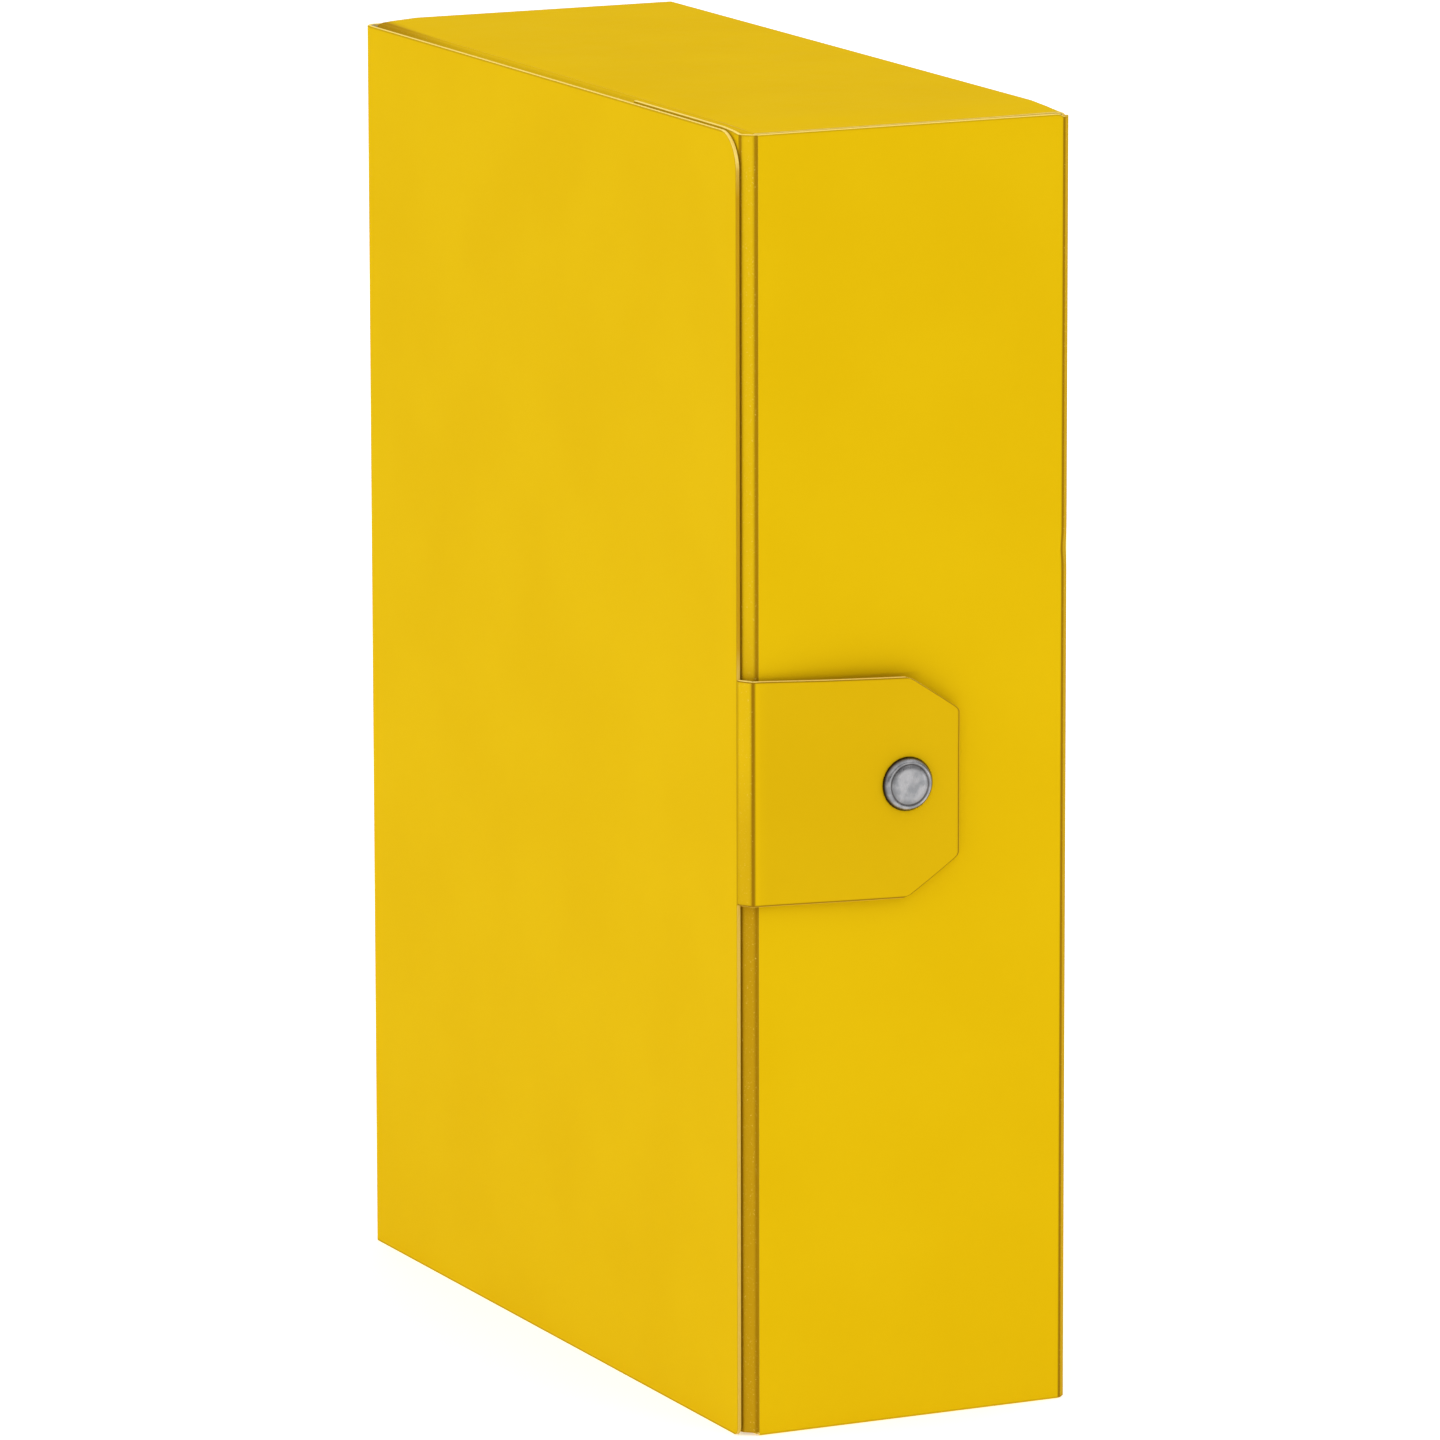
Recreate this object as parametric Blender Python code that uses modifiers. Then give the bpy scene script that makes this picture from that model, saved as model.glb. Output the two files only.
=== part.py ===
"""A card document box that stands upright: one creased sheet folded into a back panel, a spine, a
cover with a closing tab, and three walls with return flaps, held shut by a metal press stud.

Metres, +Z up. The origin is the centre of the footprint, on the surface that the box stands on.
-X is the cover's side, +X the back panel's, -Y the fore edge with the tab, +Y the spine.
"""

import math

import bmesh
import bpy
from mathutils import Matrix, Vector

MM = 0.001

# The folded box, outside.
THICK = 100 * MM
DEPTH = 250 * MM
HEIGHT = 358 * MM
BOARD = 1.0 * MM

# Every fold is a pair of score lines with a narrow strip between them, which chamfers the corner.
# These are the distances of the two score lines from the corner: on the board that stays, then
# on the board that turns.
BACK_FOLD = (2.6 * MM, 2.6 * MM)
END_FLAP_FOLD = (2.0 * MM, 2.0 * MM)
FORE_FLAP_FOLD = (3.6 * MM, 3.0 * MM)
TAB_FOLD = (5.0 * MM, 2.6 * MM)
SCORE_GAP = 0.5 * MM

# Layers under the cover, from its outer face inwards, and how far the top wall stands proud of the
# walls round it.
FORE_FLAP_INSET = 1.4 * MM
END_FLAP_INSET = 2.8 * MM
TOP_WALL_STAND = 0.8 * MM
WALL_TO_WALL_GAP = 0.6 * MM

FORE_FLAP_REACH = 75.5 * MM
END_FLAP_REACH = 75.0 * MM
END_FLAP_TAPER = math.radians(45)
EDGE_INSET = 0.7 * MM
FORE_EDGE_DROP = 0.2 * MM

COVER_TOP_RADIUS = 10 * MM
COVER_FOOT_RADIUS = 2.5 * MM
FLAP_CORNER_RADIUS = 6 * MM

# The closing tab.
TAB_STAND_OFF = 2.2 * MM
TAB_HEIGHT = 62 * MM
TAB_REACH = 64.6 * MM
TAB_CHAMFER_ACROSS = 16 * MM
TAB_CHAMFER_UP = 10.5 * MM
TAB_CORNER_RADIUS = 3 * MM
TAB_Z = HEIGHT / 2

# The press stud.
STUD_X = -1.5 * MM
STUD_Z = TAB_Z - 0.8 * MM  # pressed in a little below the middle of the tab
STUD_HOLE_RADIUS = 1.9 * MM
TURNED_STEPS = 40

# Outer faces, in the box's own frame.
COVER_X = -THICK / 2
BACK_X = THICK / 2
FORE_Y = -DEPTH / 2
SPINE_Y = DEPTH / 2
FORE_FLAP_X = COVER_X + FORE_FLAP_INSET
END_FLAP_X = COVER_X + END_FLAP_INSET
TAB_Y = FORE_Y - TAB_STAND_OFF - BOARD
TOP_Z = HEIGHT + TOP_WALL_STAND
BACK_SCORE = BACK_FOLD[0] + SCORE_GAP
END_FLAP_SCORE = END_FLAP_FOLD[0] + SCORE_GAP
INNER_FORE_Y = FORE_Y + BOARD + WALL_TO_WALL_GAP
INNER_SPINE_Y = SPINE_Y - BOARD - WALL_TO_WALL_GAP

AXES = {"x": Vector((1, 0, 0)), "y": Vector((0, 1, 0)), "z": Vector((0, 0, 1))}
# For a board whose normal is the key: the axes that its outline's two numbers run along.
OUTLINE_AXES = {"x": ("y", "z"), "y": ("x", "z"), "z": ("x", "y")}


def clear_scene():
    for obj in list(bpy.data.objects):
        bpy.data.objects.remove(obj)


def new_collection(name):
    collection = bpy.data.collections.new(name)
    bpy.context.scene.collection.children.link(collection)
    return collection


def new_material(name, colour, roughness, metallic=0.0):
    material = bpy.data.materials.new(name)
    material.use_nodes = True
    shader = material.node_tree.nodes["Principled BSDF"]
    shader.inputs["Base Color"].default_value = (*colour, 1.0)
    shader.inputs["Roughness"].default_value = roughness
    shader.inputs["Metallic"].default_value = metallic
    return material


def add_body(name, axis_at, parent=None):
    """An empty on the hinge axis of the pieces that move together."""
    body = bpy.data.objects.new(name, None)
    parts.objects.link(body)
    body["axis_at"] = list(axis_at)
    body.location = Vector(axis_at)
    if parent is not None:
        body.parent = parent
        body.location -= Vector(parent["axis_at"])
    return body


def place(obj, body, location, rotation=None):
    """Hangs obj on a body, at a location given in the box's frame."""
    obj.parent = body
    obj.location = Vector(location) - Vector(body["axis_at"])
    if rotation is not None:
        obj.rotation_euler = rotation.to_euler()


def rounded(corners):
    """The outline through (u, v, radius) corners, with an arc of that radius at each corner."""
    points = []
    for i, (u, v, radius) in enumerate(corners):
        here = Vector((u, v))
        if radius == 0:
            points.append(here)
            continue
        before = (Vector(corners[i - 1][:2]) - here).normalized()
        after = (Vector(corners[(i + 1) % len(corners)][:2]) - here).normalized()
        half = before.angle(after) / 2
        reach = radius / math.tan(half)
        centre = here + (before + after).normalized() * radius / math.sin(half)
        start = here + before * reach - centre
        end = here + after * reach - centre
        turn = start.angle_signed(end)
        steps = max(2, round(abs(math.degrees(turn)) / 10))
        for k in range(steps + 1):
            points.append(centre + Matrix.Rotation(-turn * k / steps, 2) @ start)
    return points


def mesh_from(curve_obj):
    """The curve object's solid as a mesh, with its caps welded."""
    graph = bpy.context.evaluated_depsgraph_get()
    mesh = bpy.data.meshes.new_from_object(curve_obj.evaluated_get(graph))
    bpy.data.objects.remove(curve_obj)
    work = bmesh.new()
    work.from_mesh(mesh)
    bmesh.ops.remove_doubles(work, verts=work.verts, dist=0.001 * MM)
    work.to_mesh(mesh)
    work.free()
    return mesh


def add_board(name, body, normal, outer_face, inward, corners):
    """A flat board. corners are (u, v, radius) along the outline's axes, in the box's frame."""
    u_axis, v_axis = (AXES[a] for a in OUTLINE_AXES[normal])
    middle = AXES[normal] * (outer_face + inward * BOARD / 2)
    curve = bpy.data.curves.new(name, "CURVE")
    curve.dimensions = "2D"
    curve.fill_mode = "BOTH"
    curve.extrude = BOARD / 2
    outline = rounded(corners)
    spline = curve.splines.new("POLY")
    spline.points.add(len(outline) - 1)
    for point, (u, v) in zip(spline.points, outline):
        point.co = (u, v, 0, 1)
    spline.use_cyclic_u = True
    flat = bpy.data.objects.new(name + "_outline", curve)
    parts.objects.link(flat)
    obj = bpy.data.objects.new(name, mesh_from(flat))
    parts.objects.link(obj)
    rotation = Matrix((u_axis, v_axis, u_axis.cross(v_axis))).transposed()
    place(obj, body, middle, rotation)
    obj.data.materials.append(yellow_card)
    return obj


def rectangle(u_low, u_high, v_low, v_high):
    return [(u_low, v_low, 0), (u_high, v_low, 0), (u_high, v_high, 0), (u_low, v_high, 0)]


def fold(corner, along_a, along_b, legs):
    """The fold at the corner where two outer faces would meet, from the directions in which its
    boards leave it. One turn of 90 degrees about its axis takes them from square to flat."""
    score_a, score_b = along_a * legs[0], along_b * legs[1]
    across = score_b - score_a
    width = across.length
    both = along_a + along_b
    axis = Vector(corner) + both * (sum(legs) - width) / 2
    inward = (along_a * legs[1] + along_b * legs[0]).normalized()
    middle = Vector(corner) + (score_a + score_b) / 2 + inward * BOARD / 2
    return {"axis": axis, "middle": middle, "across": across.normalized(), "width": width}


def add_crease_strip(name, body, crease, run, low, high):
    """The strip between a fold's two score lines, along the run axis from low to high."""
    bpy.ops.mesh.primitive_cube_add(size=1)
    obj = bpy.context.active_object
    obj.name = name
    for holder in obj.users_collection:
        holder.objects.unlink(obj)
    parts.objects.link(obj)
    size = (crease["width"] - 2.8 * SCORE_GAP, high - low, BOARD)
    obj.data.transform(Matrix.Diagonal((*size, 1)))
    middle = crease["middle"].copy()
    middle["xyz".index(run)] = (low + high) / 2
    across, along = crease["across"], AXES[run]
    rotation = Matrix((across, along, across.cross(along))).transposed()
    place(obj, body, middle, rotation)
    obj.data.materials.append(yellow_card)
    return obj


def drill(obj, name, x, z):
    """A round hole through a board of the fore edge, for the press stud's shank."""
    bpy.ops.mesh.primitive_cylinder_add(
        vertices=32,
        radius=STUD_HOLE_RADIUS,
        depth=10 * BOARD,
        location=(x, FORE_Y, z),
        rotation=(math.radians(90), 0, 0),
    )
    cutter = bpy.context.active_object
    cutter.name = name
    cutter.hide_render = True
    cutter.display_type = "WIRE"
    for holder in cutter.users_collection:
        holder.objects.unlink(cutter)
    cutters.objects.link(cutter)
    cut = obj.modifiers.new("shank_hole", "BOOLEAN")
    cut.operation = "DIFFERENCE"
    cut.object = cutter


def add_turned(name, body, profile, material):
    """A turned ring or cup on the stud's axis. The profile is (radius, height) in millimetres,
    with heights measured outwards from the fore-edge wall's outer face."""
    mesh = bpy.data.meshes.new(name)
    points = [(radius * MM, 0, height * MM) for radius, height in profile]
    edges = [(i, (i + 1) % len(points)) for i in range(len(points))]
    mesh.from_pydata(points, edges, [])
    obj = bpy.data.objects.new(name, mesh)
    parts.objects.link(obj)
    screw = obj.modifiers.new("turn", "SCREW")
    screw.steps = TURNED_STEPS
    screw.render_steps = TURNED_STEPS
    screw.use_merge_vertices = True
    screw.merge_threshold = 0.01 * MM
    screw.use_smooth_shade = True
    place(obj, body, (STUD_X, FORE_Y, STUD_Z), Matrix.Rotation(math.radians(90), 3, "X"))
    obj.data.materials.append(material)
    return obj


def make_back_panel():
    add_board(
        "back_panel", back, "x", BACK_X, -1,
        rectangle(
            FORE_Y + BACK_SCORE, SPINE_Y - BACK_SCORE, BACK_SCORE, TOP_Z - BACK_SCORE
        ),
    )


def make_spine():
    add_board(
        "spine_panel", spine, "y", SPINE_Y, -1,
        rectangle(COVER_X + BACK_SCORE, BACK_X - BACK_SCORE, 0, HEIGHT),
    )
    add_crease_strip(
        "spine_back_crease", spine, spine_fold, "z", 0, HEIGHT
    )


def make_cover():
    """The cover's top free corner is rounded and its foot nearly square. Its fore edge ends just
    short of the tab's first score line."""
    fore = TAB_Y + TAB_FOLD[0] + BOARD * 0.3
    hinged = SPINE_Y - BACK_SCORE
    add_board(
        "front_cover", cover, "x", COVER_X, 1,
        [
            (fore, 0, COVER_FOOT_RADIUS),
            (hinged, 0, 0),
            (hinged, HEIGHT, 0),
            (fore, HEIGHT, COVER_TOP_RADIUS),
        ],
    )
    add_crease_strip("spine_cover_crease", cover, cover_fold, "z", 0, HEIGHT)


def make_tab():
    """The tab folds round the fore edge, and its two free corners are cut off."""
    low, high = TAB_Z - TAB_HEIGHT / 2, TAB_Z + TAB_HEIGHT / 2
    root = COVER_X + TAB_FOLD[1] + SCORE_GAP
    tip = COVER_X + TAB_REACH
    cut = tip - TAB_CHAMFER_ACROSS
    board = add_board(
        "closure_tab", tab, "y", TAB_Y, 1,
        [
            (root, low, 0),
            (cut, low, TAB_CORNER_RADIUS),
            (tip, low + TAB_CHAMFER_UP, TAB_CORNER_RADIUS),
            (tip, high - TAB_CHAMFER_UP, TAB_CORNER_RADIUS),
            (cut, high, TAB_CORNER_RADIUS),
            (root, high, 0),
        ],
    )
    drill(board, "tab_hole_cutter", STUD_X, STUD_Z)
    add_crease_strip("tab_crease", tab, tab_fold, "z", low, high)


def make_fore_edge():
    hinged = BACK_X - BACK_SCORE
    flap_side = FORE_FLAP_X + FORE_FLAP_FOLD[0] + SCORE_GAP
    wall = add_board(
        "fore_edge_wall", fore_edge, "y", FORE_Y, 1,
        rectangle(flap_side, hinged, 0, HEIGHT - FORE_EDGE_DROP),
    )
    drill(wall, "wall_hole_cutter", STUD_X, STUD_Z)
    add_crease_strip(
        "fore_edge_back_crease", fore_edge, fore_edge_fold, "z", 0, HEIGHT - FORE_EDGE_DROP
    )
    low, high = EDGE_INSET, HEIGHT - FORE_EDGE_DROP
    root = FORE_Y + FORE_FLAP_FOLD[1] + SCORE_GAP
    free = FORE_Y + FORE_FLAP_REACH
    add_board(
        "fore_edge_return_flap", fore_flap, "x", FORE_FLAP_X, 1,
        [
            (root, low, 0),
            (free, low, FLAP_CORNER_RADIUS),
            (free, high, FLAP_CORNER_RADIUS),
            (root, high, 0),
        ],
    )
    add_crease_strip(
        "fore_edge_return_crease", fore_flap, fore_flap_fold, "z", low, high
    )


def make_end(name, wall_body, flap_body, wall_fold, flap_fold, face_z, inward):
    """The top or the bottom wall, with the tapered return flap that folds over the contents."""
    add_board(
        name + "_wall", wall_body, "z", face_z, inward,
        rectangle(
            END_FLAP_X + END_FLAP_SCORE, BACK_X - BACK_SCORE, INNER_FORE_Y, INNER_SPINE_Y
        ),
    )
    fore = FORE_Y + END_FLAP_SCORE + EDGE_INSET
    rear = SPINE_Y - END_FLAP_SCORE - EDGE_INSET
    add_crease_strip(name + "_back_crease", wall_body, wall_fold, "y", fore, rear)
    add_crease_strip(name + "_return_crease", flap_body, flap_fold, "y", fore, rear)
    root = face_z + inward * END_FLAP_SCORE
    free = face_z + inward * END_FLAP_REACH
    taper = (END_FLAP_REACH - END_FLAP_SCORE) * math.tan(END_FLAP_TAPER)
    corners = [
        (fore, root, 0),
        (rear, root, 0),
        (rear - taper, free, FLAP_CORNER_RADIUS),
        (fore + taper, free, FLAP_CORNER_RADIUS),
    ]
    add_board(
        name + "_return_flap", flap_body, "x", END_FLAP_X, 1,
        corners if inward > 0 else corners[::-1],
    )


def make_press_stud():
    """A ring-spring press stud: cap and socket on the tab, stud and eyelet on the wall."""
    cap = [
        (0.01, 5.15), (3.0, 5.1), (5.4, 4.95), (5.9, 5.05), (6.6, 4.9), (7.2, 4.5), (7.5, 3.8),
        (7.4, 3.4), (6.9, 3.4), (6.5, 3.9), (1.5, 4.3), (1.5, 1.8), (0.01, 1.8),
    ]
    socket = [
        (1.9, 2.1), (5.0, 2.1), (5.2, 1.9), (5.2, 0.8), (5.0, 0.6), (3.1, 0.6), (3.0, 0.75),
        (3.1, 0.9), (4.3, 0.9), (4.3, 1.8), (1.9, 1.8),
    ]
    stud = [
        (0.01, 1.6), (2.1, 1.6), (2.5, 1.35), (2.5, 1.1), (2.2, 0.7), (2.2, 0.45), (4.4, 0.4),
        (4.6, 0.25), (4.5, 0.1), (1.75, 0.1), (1.75, 1.25), (0.01, 1.25),
    ]
    eyelet = [
        (0.01, 1.0), (1.2, 1.0), (1.4, 0.8), (1.4, -1.1), (3.8, -1.1), (4.0, -1.25),
        (3.8, -1.45), (0.01, -1.5),
    ]
    add_turned("stud_cap", tab, cap, nickel)
    add_turned("stud_socket", tab, socket, nickel)
    add_turned("wall_stud", fore_edge, stud, nickel)
    add_turned("wall_eyelet", fore_edge, eyelet, nickel)


def make_spring_ring():
    """The split wire ring inside the socket, which grips the stud's head."""
    ring_radius, wire_radius, split, points = 3.4 * MM, 0.3 * MM, math.radians(40), 25
    curve = bpy.data.curves.new("socket_spring", "CURVE")
    curve.dimensions = "3D"
    curve.bevel_depth = wire_radius
    curve.bevel_resolution = 2
    curve.use_fill_caps = True
    spline = curve.splines.new("POLY")
    spline.points.add(points - 1)
    for i, point in enumerate(spline.points):
        angle = split / 2 + (2 * math.pi - split) * i / (points - 1)
        point.co = (ring_radius * math.cos(angle), ring_radius * math.sin(angle), 0, 1)
    obj = bpy.data.objects.new("socket_spring", curve)
    parts.objects.link(obj)
    ring_y = FORE_Y - 1.35 * MM
    place(obj, tab, (STUD_X, ring_y, STUD_Z), Matrix.Rotation(math.radians(90), 3, "X"))
    obj.data.materials.append(spring_steel)


clear_scene()
parts = new_collection("document_box")
cutters = new_collection("cutters")
yellow_card = new_material("yellow_card", (0.80, 0.50, 0.012), 0.42)
nickel = new_material("nickel", (0.46, 0.46, 0.47), 0.28, 1.0)
spring_steel = new_material("spring_steel", (0.40, 0.40, 0.42), 0.35, 1.0)

LEFT, RIGHT = Vector((-1, 0, 0)), Vector((1, 0, 0))
TO_SPINE, TO_FORE = Vector((0, 1, 0)), Vector((0, -1, 0))
UP, DOWN = Vector((0, 0, 1)), Vector((0, 0, -1))

spine_fold = fold((BACK_X, SPINE_Y, 0), TO_FORE, LEFT, BACK_FOLD)
cover_fold = fold((COVER_X, SPINE_Y, 0), RIGHT, TO_FORE, BACK_FOLD)
tab_fold = fold((COVER_X, TAB_Y, 0), TO_SPINE, RIGHT, TAB_FOLD)
fore_edge_fold = fold((BACK_X, FORE_Y, 0), TO_SPINE, LEFT, BACK_FOLD)
fore_flap_fold = fold((FORE_FLAP_X, FORE_Y, 0), RIGHT, TO_SPINE, FORE_FLAP_FOLD)
top_fold = fold((BACK_X, 0, TOP_Z), DOWN, LEFT, BACK_FOLD)
top_flap_fold = fold((END_FLAP_X, 0, TOP_Z), RIGHT, DOWN, END_FLAP_FOLD)
bottom_fold = fold((BACK_X, 0, 0), UP, LEFT, BACK_FOLD)
bottom_flap_fold = fold((END_FLAP_X, 0, 0), RIGHT, UP, END_FLAP_FOLD)

back = add_body("back_body", (0, 0, 0))
spine = add_body("spine_body", spine_fold["axis"], back)
cover = add_body("cover_body", cover_fold["axis"], spine)
tab = add_body("tab_body", tab_fold["axis"], cover)
fore_edge = add_body("fore_edge_body", fore_edge_fold["axis"], back)
fore_flap = add_body("fore_flap_body", fore_flap_fold["axis"], fore_edge)
top = add_body("top_body", top_fold["axis"], back)
top_flap = add_body("top_flap_body", top_flap_fold["axis"], top)
bottom = add_body("bottom_body", bottom_fold["axis"], back)
bottom_flap = add_body("bottom_flap_body", bottom_flap_fold["axis"], bottom)

make_back_panel()
make_spine()
make_cover()
make_tab()
make_fore_edge()
make_end("top", top, top_flap, top_fold, top_flap_fold, TOP_Z, -1)
make_end("bottom", bottom, bottom_flap, bottom_fold, bottom_flap_fold, 0, 1)
make_press_stud()
make_spring_ring()
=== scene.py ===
"""A card document box standing upright with its tab pressed shut, on a pale studio floor.

The box is one die-cut card sheet under a yellow film. The script builds it in the order in which
the blank is folded up: back panel, spine, cover, tab, fore edge, ends, and then the press stud.
"""

import math

import bpy
import numpy as np
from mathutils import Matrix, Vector


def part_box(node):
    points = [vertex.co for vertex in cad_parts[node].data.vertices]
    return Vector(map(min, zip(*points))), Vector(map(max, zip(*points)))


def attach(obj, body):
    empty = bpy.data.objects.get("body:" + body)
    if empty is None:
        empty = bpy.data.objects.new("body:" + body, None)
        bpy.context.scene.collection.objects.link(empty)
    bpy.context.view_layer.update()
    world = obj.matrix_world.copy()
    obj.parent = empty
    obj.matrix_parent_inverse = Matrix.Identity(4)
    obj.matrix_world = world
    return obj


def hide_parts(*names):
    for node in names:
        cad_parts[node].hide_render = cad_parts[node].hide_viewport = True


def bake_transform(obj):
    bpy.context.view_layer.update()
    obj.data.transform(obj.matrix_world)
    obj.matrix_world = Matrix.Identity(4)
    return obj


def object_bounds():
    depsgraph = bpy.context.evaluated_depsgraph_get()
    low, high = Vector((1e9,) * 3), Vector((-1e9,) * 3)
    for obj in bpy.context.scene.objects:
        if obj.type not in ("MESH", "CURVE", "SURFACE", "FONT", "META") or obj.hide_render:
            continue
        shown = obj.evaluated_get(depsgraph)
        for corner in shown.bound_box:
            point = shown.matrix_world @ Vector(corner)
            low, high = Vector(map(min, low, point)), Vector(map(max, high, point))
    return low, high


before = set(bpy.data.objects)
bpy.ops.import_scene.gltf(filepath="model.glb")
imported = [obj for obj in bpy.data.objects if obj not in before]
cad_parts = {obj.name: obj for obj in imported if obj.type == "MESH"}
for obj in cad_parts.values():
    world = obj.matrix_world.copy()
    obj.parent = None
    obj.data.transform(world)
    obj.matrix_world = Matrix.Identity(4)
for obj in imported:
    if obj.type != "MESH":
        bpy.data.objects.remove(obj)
cad_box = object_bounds()

# ---------------------------------------------------------------- back panel
# The back panel is the middle of the blank, which every other panel is folded up from. It is
# 1 mm solid board: printed yellow and film laminated outside, plain grey-white board inside.
# All four of its edges run on into folds, so none of them is a cut edge.
mm = 0.001
board = 1.0 * mm
cut_lip = 0.13 * mm  # how far a die-cut edge is crushed round on each face
bend = 0.3 * mm  # half the length over which the board bends at a score line
score_gap = 0.5 * mm  # from a score line to where the panel before it ends
folded_lip = 0.02 * mm  # the same as cut_lip, where an edge runs on into a fold
row_spacing = 7 * mm  # the widest that the mesh's rows and columns stand apart
groove_depth = (0.24 * mm, 0.16 * mm)  # of a score line, on the outer and the inner face


def linear(hex_colour):
    """The colour as linear values: each sRGB channel c over 0.04045 is ((c + 0.055) / 1.055)
    to the power 2.4, and any other is c / 12.92."""
    c = np.array([int(hex_colour[i : i + 2], 16) for i in (1, 3, 5)]) / 255
    return (*np.where(c <= 0.04045, c / 12.92, ((c + 0.055) / 1.055) ** 2.4), 1.0)


def add_node(material, kind, inputs=(), **settings):
    """A new node with its settings. Each input, named by its socket's identifier, is a value or
    another node's output to link."""
    node = material.node_tree.nodes.new(kind)
    for name, value in settings.items():
        setattr(node, name, value)
    sockets = {socket.identifier: socket for socket in node.inputs}
    for name, value in dict(inputs).items():
        if isinstance(value, bpy.types.NodeSocket):
            material.node_tree.links.new(value, sockets[name])
        else:
            sockets[name].default_value = value
    return node


def mix_colours(material, share, first, second):
    """The colour that runs from first to second as share runs from 0 to 1."""
    inputs = {"Factor_Float": share, "A_Color": first, "B_Color": second}
    return add_node(material, "ShaderNodeMix", inputs, data_type="RGBA").outputs[2]


def new_material(name):
    """A material with nothing but its Principled shader, the function that links its sockets,
    and the Object coordinates that its patterns read."""
    material = bpy.data.materials.new(name)
    material.use_nodes = True
    here = add_node(material, "ShaderNodeTexCoord").outputs["Object"]
    shader = material.node_tree.nodes["Principled BSDF"]
    return material, shader, material.node_tree.links.new, here


# Matt polypropylene film over a yellow offset print: deep colour and hardly any gloss, with a
# faint level streak where the film follows the board's fibres. It is brown along score lines
# and knife cuts, partly a bruised film and partly painted shade in the creases and along the
# tab's edges, polished brighter on the strip of a fold, and rubbed through in specks.
film_yellow = "#e2ba0c"
film_amber = "#e0b70a"
score_brown = "#99700c"
polished_yellow = "#dfb713"
shade_and_grime_amber = "#b98d12"
rubbed_pale = "#f4d868"
cloud_size = 45 * mm  # patches of heavier and lighter ink
fibre_size = (9 * mm, 9 * mm, 0.55 * mm)  # board fibres lie level round the box
speck_size = 0.5 * mm

yellow_film, shader, link, here = new_material("film_laminated_yellow_card")
clouds = add_node(
    yellow_film,
    "ShaderNodeTexNoise",
    {"Vector": here, "Scale": 1 / cloud_size, "Detail": 2.0, "Roughness": 0.45},
)
cloud_share = add_node(
    yellow_film,
    "ShaderNodeMapRange",
    {"Value": clouds.outputs["Fac"], "From Min": 0.3, "From Max": 0.7},
    interpolation_type="SMOOTHSTEP",
)
printed = mix_colours(
    yellow_film, cloud_share.outputs["Result"], linear(film_yellow), linear(film_amber)
)
strip = add_node(yellow_film, "ShaderNodeAttribute", attribute_name="fold_strip")
score = add_node(yellow_film, "ShaderNodeAttribute", attribute_name="score_line")
# The amber darkening below is mostly painted shade: on the tab, on fold strips, on the top by the
# cover, and a painted shadow on the wall above the tab.
shade_and_grime = add_node(yellow_film, "ShaderNodeAttribute", attribute_name="shade_and_grime")
polished = mix_colours(
    yellow_film, strip.outputs["Fac"], printed, linear(polished_yellow)
)
with_shade_and_grime = mix_colours(yellow_film, shade_and_grime.outputs["Fac"], polished, linear(shade_and_grime_amber))
bruised_and_shaded = mix_colours(yellow_film, score.outputs["Fac"], with_shade_and_grime, linear(score_brown))
specks = add_node(
    yellow_film,
    "ShaderNodeTexNoise",
    {"Vector": here, "Scale": 1 / speck_size, "Detail": 3.0, "Roughness": 0.7},
)
speck_share = add_node(
    yellow_film,
    "ShaderNodeMapRange",
    {"Value": specks.outputs["Fac"], "From Min": 0.62, "From Max": 0.72, "To Max": 0.8},
)
speck_on_strip = add_node(
    yellow_film,
    "ShaderNodeMath",
    {"Value": speck_share.outputs["Result"], "Value_001": strip.outputs["Fac"]},
    operation="MULTIPLY",
)
rubbed = mix_colours(
    yellow_film, speck_on_strip.outputs["Value"], bruised_and_shaded, linear(rubbed_pale)
)
link(rubbed, shader.inputs["Base Color"])
fibre_space = add_node(
    yellow_film,
    "ShaderNodeMapping",
    {"Vector": here, "Scale": tuple(1 / size for size in fibre_size)},
)
fibres = add_node(
    yellow_film,
    "ShaderNodeTexNoise",
    {"Vector": fibre_space.outputs["Vector"], "Scale": 1.0, "Detail": 4.0, "Roughness": 0.6},
)
film_roughness = add_node(
    yellow_film,
    "ShaderNodeMapRange",
    {"Value": fibres.outputs["Fac"], "To Min": 0.38, "To Max": 0.54},
)
link(film_roughness.outputs["Result"], shader.inputs["Roughness"])
film_bump = add_node(
    yellow_film,
    "ShaderNodeBump",
    {"Height": fibres.outputs["Fac"], "Strength": 0.35, "Distance": 0.05 * mm},
)
link(film_bump.outputs["Normal"], shader.inputs["Normal"])
shader.inputs["IOR"].default_value = 1.49
shader.inputs["Specular IOR Level"].default_value = 0.003
shader.inputs["Specular Tint"].default_value = linear("#fff0c0")

# Die-cut edge of the board: pale fibres, fuzzy and matt, with the print's yellow dragged over
# them by the knife, and darkened to brown along the tab's edges by painted shade, and down
# the cover's fore edge.
edge_pale = "#ffe88a"
edge_yellow = "#f3d052"
edge_shade_and_soil = "#c0930f"
fuzz_size = 0.8 * mm

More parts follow.
